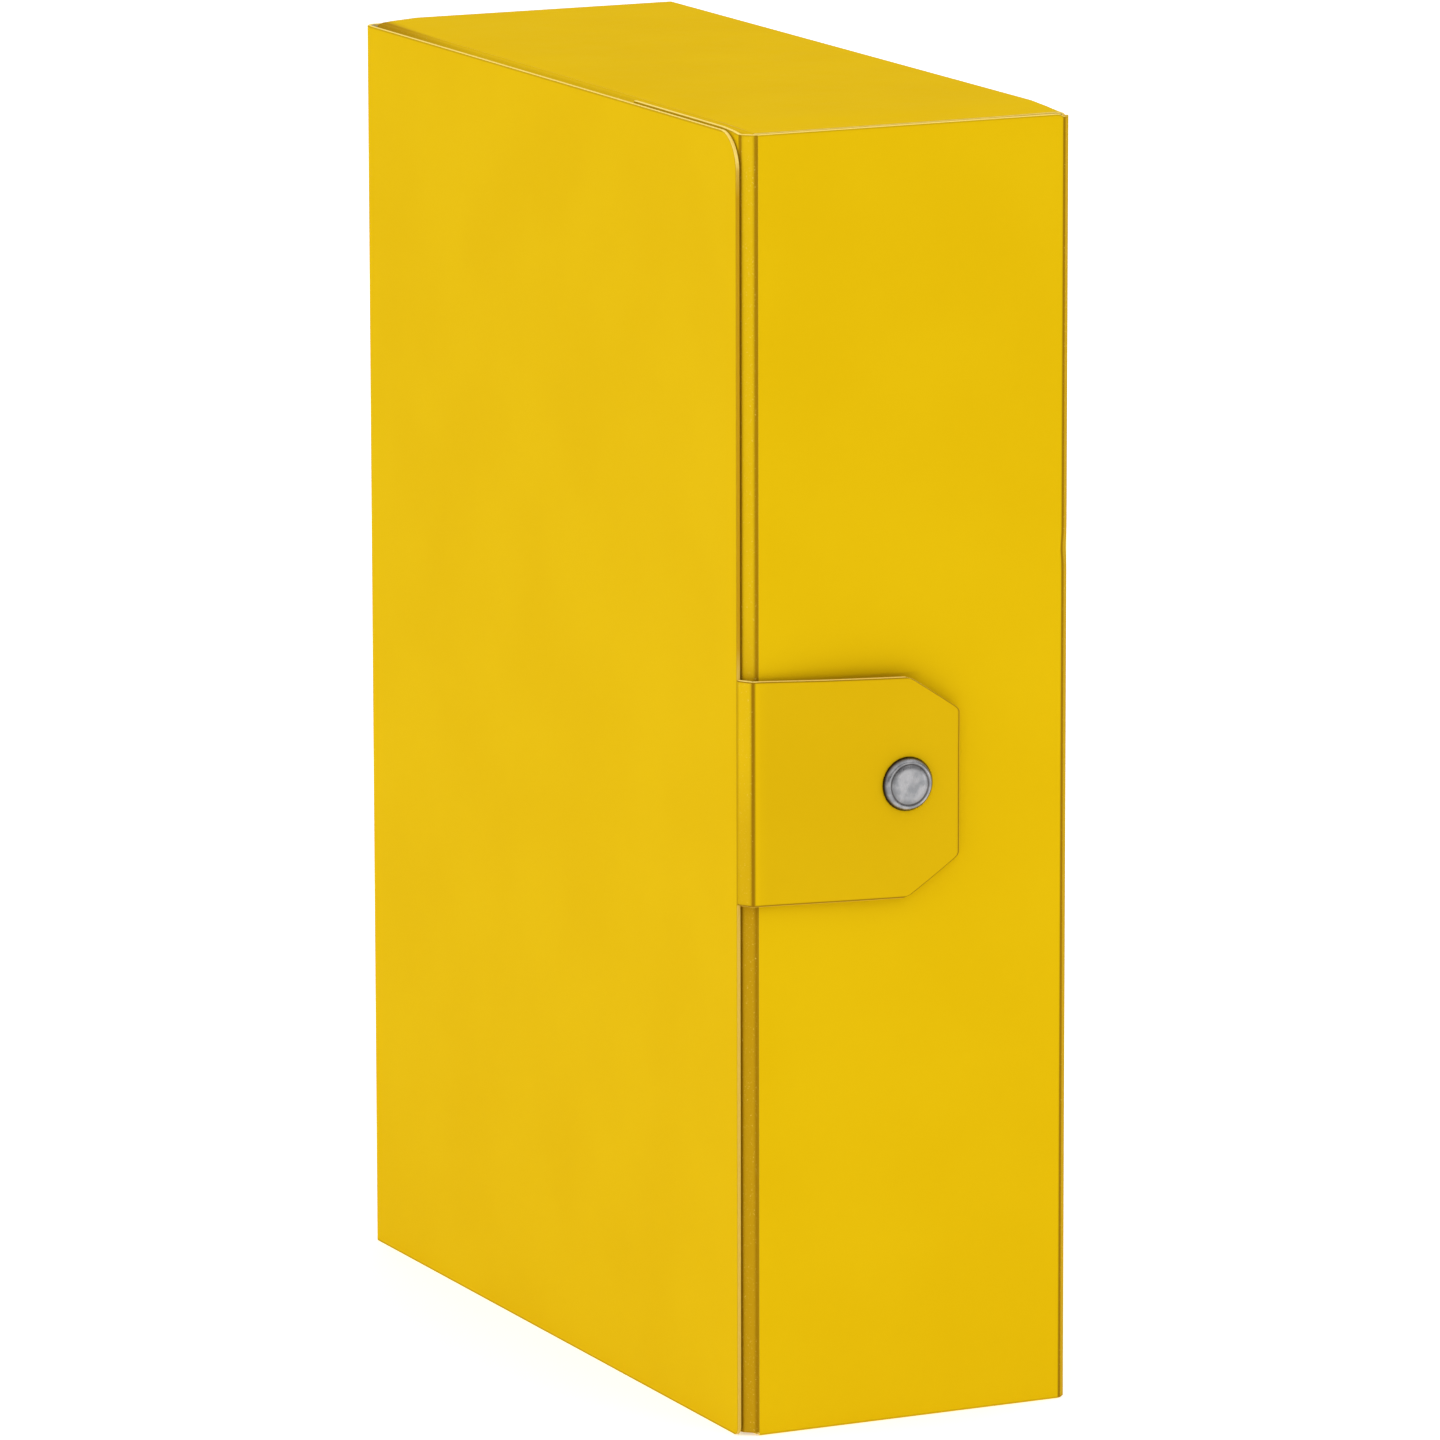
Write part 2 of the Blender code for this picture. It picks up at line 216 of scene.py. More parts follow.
cut_card, shader, link, here = new_material("die_cut_card_edge")
fuzz = add_node(
    cut_card,
    "ShaderNodeTexNoise",
    {"Vector": here, "Scale": 1 / fuzz_size, "Detail": 3.0, "Roughness": 0.7},
)
fuzz_colour = mix_colours(cut_card, fuzz.outputs["Fac"], linear(edge_pale), linear(edge_yellow))
shade_and_soil = add_node(cut_card, "ShaderNodeAttribute", attribute_name="shade_and_grime")
edge_with_shade_and_soil = mix_colours(cut_card, shade_and_soil.outputs["Fac"], fuzz_colour, linear(edge_shade_and_soil))
link(edge_with_shade_and_soil, shader.inputs["Base Color"])
fuzz_bump = add_node(
    cut_card,
    "ShaderNodeBump",
    {"Height": fuzz.outputs["Fac"], "Strength": 0.5, "Distance": 0.1 * mm},
)
link(fuzz_bump.outputs["Normal"], shader.inputs["Normal"])
shader.inputs["Roughness"].default_value = 0.9
shader.inputs["Specular IOR Level"].default_value = 0.1

# Unprinted side of recycled solid board: warm grey-white and dead matt, flecked with darker
# and lighter fibres a few millimetres long.
board_pale = "#dcd5c5"
board_grey = "#c4bba8"
fleck_size = (2.2 * mm, 2.2 * mm, 0.5 * mm)

plain_board, shader, link, here = new_material("uncoated_grey_white_board")
fleck_space = add_node(
    plain_board,
    "ShaderNodeMapping",
    {"Vector": here, "Scale": tuple(1 / size for size in fleck_size)},
)
flecks = add_node(
    plain_board,
    "ShaderNodeTexNoise",
    {"Vector": fleck_space.outputs["Vector"], "Scale": 1.0, "Detail": 3.0, "Roughness": 0.6},
)
fleck_share = add_node(
    plain_board,
    "ShaderNodeMapRange",
    {"Value": flecks.outputs["Fac"], "From Min": 0.35, "From Max": 0.72},
)
fleck_colour = mix_colours(
    plain_board, fleck_share.outputs["Result"], linear(board_pale), linear(board_grey)
)
link(fleck_colour, shader.inputs["Base Color"])
fleck_bump = add_node(
    plain_board,
    "ShaderNodeBump",
    {"Height": flecks.outputs["Fac"], "Strength": 0.4, "Distance": 0.08 * mm},
)
link(fleck_bump.outputs["Normal"], shader.inputs["Normal"])
shader.inputs["Roughness"].default_value = 0.88


def ease(x):
    """0 up to x = 0, 1 from x = 1, and 3 x squared less 2 x cubed between."""
    x = np.clip(x, 0, 1)
    return x * x * (3 - 2 * x)


def straight(s):
    """The outer face of a panel with no fold: it runs straight along the board direction, and
    its inward normal is the direction towards the panel before it."""
    return 0 * s, s, 0 * s + math.pi / 2


def card_sheet(
    name, corner, back_along, out_along, run, path, start, reach, ends,
    scores=(), near=(), at=(), folded_edge=False, folded_ends=False,
    shape=None, film_edge=None, shade_and_grime=None,
    score_bruise_and_shade=((0.6, 0.6), (0.6, 0.6)), cut_bruise_and_shade=0.45,
):
    """A panel of card as a closed mesh: a thin loop carried along its fold.

    The loop goes out over the face at arc lengths s of the path, round the free edge and back
    over the inner face: point = path(s) + depth times the path's inward normal. Each row puts
    the loop at r = (1 - share) low(s) + share high(s) + offset along the run direction. The
    score lines are grooves: each adds 0.24 mm times exp(-(distance / 0.4 mm) squared). Each
    darkens the film by its share times exp(-(distance / its half width) to the power 4), as a
    knife cut does for 0.5 mm beside it: partly a bruised film, partly painted shade. Each score
    has a pair (share, half width in mm). A share over 1 from the function that darkens the film
    amber is painted shade too, and darkens the film further by what is over."""
    corner, back_along, out_along, run = map(np.array, (corner, back_along, out_along, run))
    lip = folded_lip if folded_edge else cut_lip
    end_lip = folded_lip if folded_ends else cut_lip
    from_end = np.unique(np.r_[0, end_lip, 0.3 * mm, 0.6 * mm, 1.2 * mm, 3 * mm, near])
    at = np.asarray(at, float)
    span = ends(np.array([reach(np.array([0.0]))[0]]))
    low, high = span[0][0], span[1][0]
    inner_low, inner_high = low + from_end[-1], high - from_end[-1]
    shares = np.linspace(0, 1, max(3, int((inner_high - inner_low) / row_spacing)))[1:-1]
    shares = np.unique(np.r_[shares, (at - inner_low) / (inner_high - inner_low)])
    share = np.r_[0 * from_end, shares, 0 * from_end + 1]
    offset = np.r_[from_end, from_end[-1] * (1 - 2 * shares), -from_end[::-1]]
    free_end = reach(low * (1 - share) + high * share + offset)[:, None]

    # The columns crowd about the score lines, where the board is grooved and bent.
    folds = [start]
    if len(scores):
        strip_from, strip_to = scores[0] + 0.8 * mm, scores[-1] - 0.8 * mm
        folds = np.unique(
            np.r_[
                np.linspace(start, strip_from, 12),
                np.linspace(strip_from, strip_to, 7),
                np.linspace(strip_to, scores[-1] + 1.4 * mm, 22),
            ]
        )
    flat_from = folds[-1]
    flat_steps = max(4, int((free_end.max() - flat_from) / row_spacing))
    hinge_side = flat_from + np.array([1.0, 3.0]) * mm
    free_side = np.array([3.0, 1.2, 0.6, 0.3]) * mm
    middle = np.linspace(0, 1, flat_steps)[1:-1]
    stretch = free_end - free_side[0] - hinge_side[-1]
    rows = len(share)
    out_s = np.hstack(
        [
            np.tile(folds, (rows, 1)),
            np.tile(hinge_side, (rows, 1)),
            hinge_side[-1] + middle * stretch,
            free_end - free_side,
            free_end - lip,
        ]
    )
    s = np.hstack([out_s, free_end, free_end, out_s[:, ::-1]])
    half = out_s.shape[1] + 1
    outer = np.arange(2 * half) < half
    depth = np.where(outer, 0.0, board) * np.ones((rows, 1))
    depth[:, half - 1], depth[:, half] = lip, board - lip
    depth[[0, -1]] = np.clip(depth[[0, -1]], end_lip, board - end_lip)
    for line in scores:
        groove = np.exp(-(((s - line) / (0.4 * mm)) ** 2))
        depth += groove * np.where(outer, *groove_depth)
    a, b, turn = path(s)
    a, b = a + depth * np.sin(turn), b + depth * np.cos(turn)
    low, high = ends(s)
    r = low * (1 - share[:, None]) + high * share[:, None] + offset[:, None]
    along_each = ((a, back_along), (b, out_along), (r, run))
    points = corner + sum(length[..., None] * way for length, way in along_each)
    if shape is not None:
        points = points + shape(points)

    loop = 2 * half
    index = np.arange(rows * loop).reshape(rows, loop)
    ahead = np.roll(index, -1, axis=1)
    sides = np.stack([index[:-1], ahead[:-1], ahead[1:], index[1:]], axis=-1)
    k = np.arange(half - 1)
    cap = np.stack([k + 1, k, loop - 1 - k, loop - 2 - k], axis=-1)
    faces = np.concatenate([sides.reshape(-1, 4), index[0][cap], index[-1][cap[:, ::-1]]])
    corners = points.reshape(-1, 3)[faces]
    volume = np.einsum(
        "ij,ij->", corners[:, 0], np.cross(corners[:, 1], corners[:, 2])
    ) + np.einsum("ij,ij->", corners[:, 0], np.cross(corners[:, 2], corners[:, 3]))
    if volume < 0:
        faces = faces[:, ::-1]

    # Slot 0 is the film outside, 1 a cut edge and 2 the bare board inside.
    kind = np.where(np.arange(loop) < half - 2, 0, 2) * np.ones((rows - 1, 1), int)
    kind[:, half - 2 : half + 1] = 1
    kind[:, -1] = 1
    if folded_edge:
        kind[:, half - 2] = 0
    if not folded_ends:
        kind[[0, -1]] = 1
        kind[[1, 2, -3, -2], half + 1 : -1] = 1  # the knife drags yellow over onto the board
    if film_edge is not None:
        row_middle = r[:, half][:-1] / 2 + r[:, half][1:] / 2
        kind[(row_middle > film_edge[0]) & (row_middle < film_edge[1]), half - 2] = 0
    kinds = np.r_[kind.ravel(), np.ones(2 * len(cap), int)]

    mesh = bpy.data.meshes.new(name)
    mesh.from_pydata(points.reshape(-1, 3), [], faces)
    mesh.polygons.foreach_set("material_index", kinds.astype(np.int32))
    mesh.polygons.foreach_set("use_smooth", np.ones(len(faces), bool))
    # Brown along score lines and near cut edges: partly a bruised film, partly painted shade in
    # the creases and a painted contact shadow along the tab's edges.
    lines = 0 * s
    for line, (amount, half_width) in zip(scores, score_bruise_and_shade):
        lines = lines + amount * np.exp(-(((s - line) / (half_width * mm)) ** 4))
    from_cut = np.full_like(s, 1.0)
    if not folded_edge:
        from_cut = np.minimum(from_cut, free_end - s)
    if not folded_ends:
        from_cut = np.minimum(from_cut, np.minimum(r - low, high - r))
    lines = np.maximum(lines, cut_bruise_and_shade * ease((0.65 * mm - from_cut) / (0.35 * mm)))
    band = 0 * s
    if len(scores):
        band = ease((s - scores[0]) / (0.4 * mm)) * ease((scores[-1] - s) / (0.4 * mm))
    # Amber darkening: mostly painted shade and painted shadow, and darker cut edges.
    shade_and_soil = 0 * s
    if shade_and_grime is not None:
        shade_and_soil = shade_and_grime(points, r, band, s > free_end - 0.2 * mm)
    marks = {
        "score_line": np.clip(np.maximum(lines, shade_and_soil - 1), 0, 1) * outer,
        "fold_strip": band * outer,
        "shade_and_grime": np.clip(shade_and_soil, 0, 1),
    }
    for mark, values in marks.items():
        attribute = mesh.attributes.new(mark, "FLOAT", "POINT")
        attribute.data.foreach_set("value", values.astype(np.float32).ravel())
    for material in (yellow_film, cut_card, plain_board):
        mesh.materials.append(material)
    mesh.set_sharp_from_angle(angle=math.radians(32))
    mesh.update()
    piece = bpy.data.objects.new(name, mesh)
    bpy.context.scene.collection.objects.link(piece)
    return piece


toward = {
    "cover": (-1.0, 0.0, 0.0), "back": (1.0, 0.0, 0.0),
    "fore": (0.0, -1.0, 0.0), "spine": (0.0, 1.0, 0.0),
    "down": (0.0, 0.0, -1.0), "up": (0.0, 0.0, 1.0),
}
back_low, back_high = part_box("back_panel")
back_panel = card_sheet(
    "back_panel_card",
    (back_high.x, back_low.y, 0), toward["cover"], toward["spine"], toward["up"],
    path=straight,
    start=0.0,
    reach=lambda r: 0 * r + back_high.y - back_low.y,
    ends=lambda s: (0 * s + back_low.z, 0 * s + back_high.z),
    folded_edge=True,
    folded_ends=True,
)
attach(back_panel, "box_back")
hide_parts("back_panel")

# ---------------------------------------------------------------- spine
# The spine turns square off the back panel. Every fold of the box is a double crease: two
# score lines pressed into the board with a narrow strip left between them, so that the corner
# is a small flat and the spine can lie down flat when the box is opened out.


def double_crease(legs):
    """The outer face across a fold, and its strip's width. legs are the distances of the two
    score lines from the corner. At arc length s from the first line the face has turned by the
    strip's slope, eased in over a bend about that line, and then by the rest of 90 degrees over
    a bend about the second. The path is the running sum of that heading, with what is left over
    shared out evenly, so that both panels lie exactly in their own planes."""
    width = math.hypot(*legs)
    slope = math.atan2(legs[1], legs[0])

    def heading(s):
        first = ease((s + bend) / (2 * bend))
        second = ease((s - width + bend) / (2 * bend))
        return slope * first + (math.pi / 2 - slope) * second

    table = np.linspace(-bend, width + bend, 800)
    turn = heading((table[1:] + table[:-1]) / 2)
    step = table[1] - table[0]
    a = legs[0] + bend - np.r_[0, np.cumsum(np.cos(turn)) * step]
    b = np.r_[0, np.cumsum(np.sin(turn)) * step]
    share = np.linspace(0, 1, len(table))
    a -= share * a[-1]
    b += share * (legs[1] + bend - b[-1])

    def path(s):
        within = np.clip(s, -bend, width + bend)
        before, after = np.minimum(s + bend, 0), np.maximum(s - width - bend, 0)
        back = np.interp(within, table, a) - before
        out = np.interp(within, table, b) + after
        return back, out, heading(s)

    return path, width


spine_low, spine_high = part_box("spine_panel")
cover_low, cover_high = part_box("front_cover")
back_leg = spine_high.y - back_high.y - score_gap
back_legs = (back_leg, back_leg)
back_path, back_width = double_crease(back_legs)
spine_corner = (back_high.x, spine_high.y, 0)
spine_panel = card_sheet(
    "spine_panel_card",
    spine_corner, toward["fore"], toward["cover"], toward["up"],
    path=back_path,
    start=-score_gap,
    reach=lambda r: 0 * r + back_width + back_high.x - spine_low.x - back_leg,
    ends=lambda s: (0 * s + spine_low.z, 0 * s + spine_high.z),
    scores=(0, back_width),
    folded_edge=True,
)
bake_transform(spine_panel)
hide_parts("spine_panel", "spine_back_crease")

# ---------------------------------------------------------------- front cover
# The cover swings on the far side of the spine and closes flat over the flaps. Its top free
# corner is die-cut round and its foot nearly square. The cut board shows pale along the top,
# and darker amber down the fore edge, the more above the tab, but for the stretch that runs on
# into the tab.
tab_low, tab_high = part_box("closure_tab")
cover_corner = (cover_low.x, spine_high.y, 0)
cover_radii = (2.5 * mm, 10 * mm)  # at the foot and at the top
cover_reach = back_width + spine_high.y - cover_low.y - back_leg


def rounded_reach(full, radii, low, high):
    """A free edge with rounded corners: the reach, less radius - sqrt(radius squared -
    (radius - e) squared) within one radius e of each end."""

    def reach(r):
        cut = 0 * r
        for radius, e in zip(radii, (r - low, high - r)):
            e = np.clip(e, 0, radius)
            cut = cut + radius - np.sqrt(radius**2 - (radius - e) ** 2)
        return full - cut

    return reach


def darkened_fore_edge_rim(points, z, band, rim):
    """The cover's vertical cut edge is darkened: fully above the tab, and by 0.6 below it."""
    below_corner = ease((cover_high.z - cover_radii[1] * 0.6 - z) / (6 * mm))
    return rim * below_corner * (0.6 + 0.4 * ease((z - tab_high.z) / (10 * mm)))


turns = 1 - np.cos(np.linspace(0.12, math.pi / 2, 12))
corner_steps = np.r_[cover_radii[0] * turns[::2], cover_radii[1] * turns]
front_cover = card_sheet(
    "front_cover_card",
    cover_corner, toward["back"], toward["fore"], toward["up"],
    path=back_path,
    start=-score_gap,
    reach=rounded_reach(cover_reach, cover_radii, cover_low.z, cover_high.z),
    ends=lambda s: (0 * s + cover_low.z, 0 * s + cover_high.z),
    scores=(0, back_width),
    near=corner_steps,
    at=(tab_low.z - 0.15 * mm, tab_low.z, tab_high.z, tab_high.z + 0.15 * mm),
    film_edge=(tab_low.z, tab_high.z),
    shade_and_grime=darkened_fore_edge_rim,
)
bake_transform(front_cover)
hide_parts("front_cover", "spine_cover_crease")

# ---------------------------------------------------------------- closing tab
# The tab is cut in one with the cover and wraps the fore edge. The press stud holds it a couple
# of millimetres off the wall, so it bows out from its fold, and its upper edge gapes. It hangs
# a little, and its two free corners are cut off on the slant. Painted shade darkens its face,
# its fold's strip and its cut edges.
tab_lead = 0.3 * mm  # the cover stops this far short of the tab's first score line
tab_legs = (cover_low.y - tab_low.y - tab_lead, tab_low.x - cover_low.x - score_gap)
tab_path, tab_width = double_crease(tab_legs)
tab_corner = (cover_low.x, tab_low.y, 0)
tab_slant = (16 * mm, 10.5 * mm)
tab_reach = tab_width + tab_high.x - cover_low.x - tab_legs[1]
tab_drop = 1.75 * mm  # at the height of the stud
edge_drop = 2.06 * mm  # at the tab's upper edge
cap_low, cap_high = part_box("stud_cap")
stud_x = (cap_low.x + cap_high.x) / 2
stud_z = (cap_low.z + cap_high.z) / 2


def slanted_reach(r):
    """The tab's free edge: the lesser of the full reach and a slant that gains 16 mm over the
    first 10.5 mm e from either end, joined smoothly over 1.2 mm, with its point eased off."""
    e = np.minimum(r - tab_low.z, tab_high.z - r)
    slant = tab_reach - tab_slant[0] + e * tab_slant[0] / tab_slant[1]
    mix = np.clip(0.5 + (slant - tab_reach) / (2 * 1.2 * mm), 0, 1)
    joined = slant * (1 - mix) + tab_reach * mix - 1.2 * mm * mix * (1 - mix)
    return joined - 1.1 * mm * (1 - ease(e / (0.9 * mm)))


def tab_hang(points):
    """The tab lies 0.8 mm nearer the wall just past its fold, rises to its full stand-off at
    the stud, and sinks by 0.5 mm to its tip. Its upper edge gapes by 1.3 mm more. It drops by
    1.75 mm, and 0.01 of the height above the stud, times the way from its fold to the stud."""
    x, z = points[..., 0], points[..., 2]
    from_fold = ease((x - cover_low.x) / (tab_low.x - cover_low.x))
    rise = ease((x - tab_low.x) / (stud_x - 6 * mm - tab_low.x))
    sink = ease((x - stud_x - 7 * mm) / (10 * mm))
    gape = ease((z - stud_z - 6 * mm) / (tab_high.z - stud_z - 6 * mm))
    gape = gape * ease((x - tab_low.x) / (22 * mm)) * (1 - 0.8 * sink)
    inward = 0.8 * mm * from_fold * (1 - rise) + 0.5 * mm * sink - 1.3 * mm * gape
    along = np.clip((x - tab_low.x) / (stud_x - tab_low.x), 0, 1)
    drop = (tab_drop + 0.01 * (z - stud_z)) * along
    return np.stack([0 * x, inward, -drop], axis=-1)


def painted_shade_on_tab(points, z, band, rim):
    """Painted shade on the tab: 0.22 all over its face, up to 0.35 on its fold's strip, the more
    the lower, and 0.85 on its cut edges, except the top one."""
    face = 0.22 * ease((points[..., 0] - tab_low.x) / (3 * mm))
    low_down = ease((stud_z + 12 * mm - z) / (25 * mm))
    under_top = ease((tab_high.z - 3 * mm - z) / (2 * mm))
    edge = np.maximum(rim * under_top, ease((tab_low.z + 0.2 * mm - z) / (0.1 * mm)))
    return np.maximum(face + band * 0.35 * low_down, 0.85 * edge)


closing_tab = card_sheet(
    "closing_tab_card",
    tab_corner, toward["spine"], toward["back"], toward["up"],
    path=tab_path,
    start=-tab_lead,
    reach=slanted_reach,
    ends=lambda s: (0 * s + tab_low.z, 0 * s + tab_high.z),
    scores=(0, tab_width),
    near=np.array([0.9, 2, 4.5, 7, 9, 9.8, 10.5, 11.2, 12]) * mm,
    shape=tab_hang,
    shade_and_grime=painted_shade_on_tab,
    # Its second score and its cut edges are dark with painted shade, standing in for the crease's
    # and the gap's shadow.
    score_bruise_and_shade=((0.3, 0.3), (1.0, 0.75)),
    cut_bruise_and_shade=1.0,
)
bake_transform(closing_tab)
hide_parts("closure_tab", "tab_crease")

# ---------------------------------------------------------------- fore edge wall
# The fore edge wall stands up from the back panel's other long edge. Its top cut edge is in
# plain sight along the front of the lid, and worn down at the back fold. A knock has left a
# small dent in that fold, and a faint band of painted shadow lies across the wall just above the
# tab's upper edge.
fore_low, fore_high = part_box("fore_edge_wall")
flap_low, flap_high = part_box("fore_edge_return_flap")
fore_corner = (back_high.x, fore_low.y, 0)
dent_z = 0.667 * fore_high.z


def knocked(points):
    """A dent in the fold: 0.5 mm towards the inside times exp(-(height / 3 mm) squared), fading
    over 3 mm from the corner."""
    x, y, z = np.moveaxis(points, -1, 0)
    near_corner = np.exp(-(((back_high.x - x) + (y - fore_low.y)) / (3 * mm)) ** 2)
    push = 0.5 * mm * near_corner * np.exp(-(((z - dent_z) / (3 * mm)) ** 2))
    return np.stack([-push, push, 0 * push], axis=-1)


def wall_shade_and_tab_shadow(points, z, band, rim):
    """Darkening of the wall: 0.6 on its back fold's strip, and 0.55 of painted shadow on a faint
    band just above the tab's upper edge that widens from 0.6 mm at the tab's fold to 1.2 mm where
    its slant starts."""
    x = points[..., 0]
    along = np.clip((x - tab_low.x) / (stud_x - tab_low.x), 0, 1)
    edge = tab_high.z - edge_drop * along - 0.75 * mm
    wide = (0.6 + 0.6 * along) * mm
    inside = ease((edge + wide - z) / (0.4 * mm)) * ease((z - edge + 2 * mm) / (0.4 * mm))
    return np.maximum(0.6 * band, 0.55 * inside * (x > tab_low.x) * (x < stud_x - 1 * mm))


def worn_at_fold(s):
    """The wall's ends: its top is 0.8 mm lower on the strip of the back fold, eased over 2 mm."""
    return 0 * s + fore_low.z, fore_high.z - 0.8 * mm * (1 - ease((s - back_width) / (2 * mm)))


fore_edge = card_sheet(
    "fore_edge_wall_card",
    fore_corner, toward["spine"], toward["cover"], toward["up"],
    path=back_path,
    start=-score_gap,
    reach=lambda r: 0 * r + back_width + back_high.x - fore_low.x - back_leg,
    ends=worn_at_fold,
    scores=(0, back_width),
    at=np.r_[dent_z + np.linspace(-6, 6, 9) * mm, tab_high.z + np.linspace(-4, 1.2, 19) * mm],
    folded_edge=True,
    shape=knocked,
    shade_and_grime=wall_shade_and_tab_shadow,
    score_bruise_and_shade=((0.6, 0.6), (1.0, 0.6)),
)
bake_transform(fore_edge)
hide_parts("fore_edge_wall", "fore_edge_back_crease")

# ---------------------------------------------------------------- fore edge return flap
# The wall's return flap tucks behind the cover, and the fold between the two is the long
# chamfer beside the cover's edge. Painted shade makes that chamfer darker low down. The
# flap's own cut edge has ridden up past the cover's, as a second pale line along the top.
flap_legs = (
    fore_low.x - flap_low.x - score_gap,
    flap_low.y - fore_low.y - score_gap,
)
flap_path, flap_width = double_crease(flap_legs)
flap_corner = (flap_low.x, fore_low.y, 0)
flap_radius = 6 * mm
flap_rise = 0.75 * mm


def ridden_up(s):
    """The flap's ends: its top rises by 0.75 mm, eased over the first 8 mm past the fold."""
    return 0 * s + flap_low.z, flap_high.z + flap_rise * ease((s - flap_width) / (8 * mm))


def painted_shade_low_down(points, z, band, rim):
    """Painted shade on the fold's strip: 0.85 low down, fading to none over the 60 mm of height
    that end 25 mm above the tab."""
    return 0.85 * band * ease((tab_high.z + 25 * mm - z) / (60 * mm))


fore_flap = card_sheet(
    "fore_edge_return_flap_card",
    flap_corner, toward["back"], toward["spine"], toward["up"],
    path=flap_path,
    start=-score_gap,
    reach=rounded_reach(
        flap_width + flap_high.y - fore_low.y - flap_legs[1],
        (flap_radius, flap_radius), flap_low.z, flap_high.z,
    ),
    ends=ridden_up,
    scores=(0, flap_width),
    near=flap_radius * (1 - np.cos(np.linspace(0.2, math.pi / 2, 8))),
    shade_and_grime=painted_shade_low_down,
    score_bruise_and_shade=((0.9, 0.8), (0.9, 0.7)),
)
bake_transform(fore_flap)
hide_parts("fore_edge_return_flap", "fore_edge_return_crease")

# ---------------------------------------------------------------- top wall
# The top wall folds over from the back panel and stands a little proud of the walls round it.
# It is drawn down to the fore edge wall. Its fold along the cover is darkened near the spine by
# painted shade, and the blank's corner is just nicked off.
top_low, top_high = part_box("top_wall")
top_flap_low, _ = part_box("top_return_flap")
top_crease_low, top_crease_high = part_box("top_back_crease")
top_corner = (back_high.x, 0, top_high.z)
top_reach = back_width + back_high.x - top_low.x - back_leg


def top_sag(points):
    """How far the top hangs: 0.8 mm along the fore edge, eased over 18 mm, but 0.2 mm of that
    less in the corner by the back, and 0.4 mm along the cover, eased over 8 mm. Between its
    edges it swells by 0.35 mm."""
    x, y = np.maximum(points[..., 0], top_low.x), points[..., 1]
    by_fore = ease((top_low.y + 18 * mm - y) / (18 * mm))
    by_back = ease((x - back_high.x + 30 * mm) / (26 * mm))
    by_cover = ease((top_low.x + 8 * mm - x) / (8 * mm))
    swell = 0.35 * (1 - by_fore) * (1 - by_cover)
    sag = ((0.8 - 0.2 * by_back) * by_fore + 0.4 * by_cover * (1 - by_fore) - swell) * mm
    return np.stack([0 * sag, 0 * sag, -sag], axis=-1)


def painted_shade_by_cover(points, y, band, rim):
    """Painted shade along the cover: 1.2 at the spine, falling to none 60 mm from it, over the
    fold and as far past it as 2.4 mm times that share."""
    along = np.clip((y - top_high.y + 60 * mm) / (60 * mm), 0, 1)
    return 1.2 * along * ease((top_low.x + 2.4 * mm * along - points[..., 0]) / (2 * mm))


def end_wall_ends(low, high, crease_low, crease_high, reach):
    """An end wall's ends: cut out across the fold, the more the nearer the first score line,
    so that they follow the box's chamfered corners, and nicked off at 20 degrees over the last
    1.2 mm on the spine's side."""
    inset = (crease_low.y - low.y, high.y - crease_high.y)

    def ends(s):
        past = 0.6 * np.maximum(s, 0)
        nick = 0.35 * np.maximum(s - (reach - 1.2 * mm), 0)
        start = crease_low.y - np.minimum(past, inset[0])
        return start, crease_high.y + np.minimum(past, inset[1]) - nick

    return ends


top_wall = card_sheet(
    "top_wall_card",
    top_corner, toward["down"], toward["cover"], toward["spine"],
    path=back_path,
    start=-score_gap,
    reach=lambda r: 0 * r + top_reach,
    ends=end_wall_ends(top_low, top_high, top_crease_low, top_crease_high, top_reach),
    scores=(0, back_width),
    folded_edge=True,
    shape=top_sag,
    shade_and_grime=painted_shade_by_cover,
    score_bruise_and_shade=((0.6, 0.6), (0.3, 0.5)),
)
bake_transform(top_wall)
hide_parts("top_wall", "top_back_crease")

# ---------------------------------------------------------------- top return flap
# The top's return flap lies on the papers under the cover. Its ends are cut at 45 degrees so
# that it clears the fore edge's flap as the two are folded in.
end_leg = top_low.x - top_flap_low.x - score_gap
end_legs = (end_leg, end_leg)
end_path, end_width = double_crease(end_legs)
end_reach = end_width + top_high.z - top_flap_low.z - end_leg
end_radius = 6 * mm


def tapered_ends(crease_low, crease_high):
    """A return flap's ends: 1.5 mm wider on the fold's strip, where they meet the end wall's,
    then drawn in at 45 degrees, and round at the free corners by 0.6 of (radius - e) squared /
    radius within one radius e of the edge."""

    def ends(s):
        past = np.maximum(s - end_width - 0.4 * mm, 0)
        e = np.clip(end_reach - s, 0, end_radius)
        strip_extra = 1.5 * mm * (1 - ease((s - 0.7 * end_width) / (0.3 * end_width)))
        inset = past + 0.6 * (end_radius - e) ** 2 / end_radius - strip_extra
        return crease_low.y + inset, crease_high.y - inset

    return ends


top_flap_corner = (top_flap_low.x, 0, top_high.z)
top_flap = card_sheet(
    "top_return_flap_card",
    top_flap_corner, toward["back"], toward["down"], toward["spine"],
    path=end_path,
    start=-score_gap,
    reach=lambda r: 0 * r + end_reach,
    ends=tapered_ends(top_crease_low, top_crease_high),
    scores=(0, end_width),
    shape=top_sag,
    shade_and_grime=painted_shade_by_cover,
    score_bruise_and_shade=((0.05, 0.5), (0.3, 0.5)),
)
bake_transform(top_flap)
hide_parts("top_return_flap", "top_return_crease")

